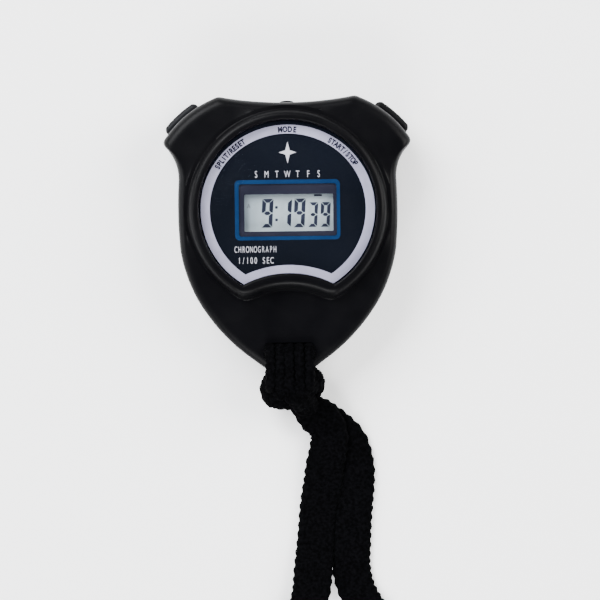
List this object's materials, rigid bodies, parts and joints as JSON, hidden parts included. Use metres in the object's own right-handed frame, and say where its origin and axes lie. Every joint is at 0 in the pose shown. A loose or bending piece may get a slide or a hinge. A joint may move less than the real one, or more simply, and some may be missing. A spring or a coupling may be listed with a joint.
{
  "type": "hand-held digital stopwatch",
  "caption": "Hand-held digital stopwatch with a shield-shaped black case, round dial, three sprung push buttons and a knitted neck lanyard.",
  "frame": {"origin": "on the resting face, under the middle of the case", "axes": "+Z out of the display, +Y towards the mode button at the top of the case, +X to the right of the display"},
  "size_m": [0.085, 0.2719, 0.017],
  "materials": {
    "case_black": "satin",
    "button_black": "satin",
    "button_grey": "satin",
    "lens_clear": "gloss",
    "dial_print": "gloss",
    "lcd_glass": "gloss",
    "lcd_film": "satin",
    "holder_white": "satin",
    "zebra_rubber": "matte",
    "board_green": "satin",
    "resin_black": "gloss",
    "can_steel": "satin",
    "chip_ceramic": "matte",
    "contact_metal": "satin",
    "disc_brass": "satin",
    "disc_ceramic": "matte",
    "screw_steel": "satin",
    "strap_black": "matte"
  },
  "bodies": {
    "case": {"front_case": "case_black", "back_case": "case_black", "lens": "lens_clear", "dial_plate": "dial_print", "lcd_front_polariser": "lcd_film", "lcd_front_glass": "lcd_glass", "lcd_rear_glass": "lcd_glass", "lcd_reflector": "lcd_film", "lcd_holder": "holder_white", "upper_zebra_strip": "zebra_rubber", "lower_zebra_strip": "zebra_rubber", "circuit_board": "board_green", "chip_blob": "resin_black", "quartz_crystal": "can_steel", "chip_parts": "chip_ceramic", "battery": "can_steel", "battery_positive_contact": "contact_metal", "battery_negative_contact": "contact_metal", "sounder_disc": "disc_brass", "sounder_ceramic": "disc_ceramic", "sounder_springs": "can_steel", "start_stop_leaf": "contact_metal", "split_reset_leaf": "contact_metal", "mode_leaf": "contact_metal", "case_screws": "screw_steel", "board_screws": "screw_steel", "lanyard_bight": "strap_black", "lanyard_knot": "strap_black", "lanyard_left_leg": "strap_black", "lanyard_right_leg": "strap_black", "lanyard_coil": "strap_black"},
    "start_stop": {"start_stop_button": "button_black"},
    "split_reset": {"split_reset_button": "button_grey"},
    "mode": {"mode_button": "button_black"}
  },
  "joints": [
    {"name": "start_stop_press", "type": "slide", "parent": "case", "child": "start_stop", "axis": [-0.6691, -0.7431, 0], "range_m": [0, 0.001], "stiffness_N_per_m": 1500, "deforming": ["start_stop_leaf"]},
    {"name": "split_reset_press", "type": "slide", "parent": "case", "child": "split_reset", "axis": [0.6691, -0.7431, 0], "range_m": [0, 0.001], "stiffness_N_per_m": 1500, "deforming": ["split_reset_leaf"]},
    {"name": "mode_press", "type": "slide", "parent": "case", "child": "mode", "axis": [0, -1, 0], "range_m": [0, 0.0008], "stiffness_N_per_m": 1200, "deforming": ["mode_leaf"]}
  ]
}
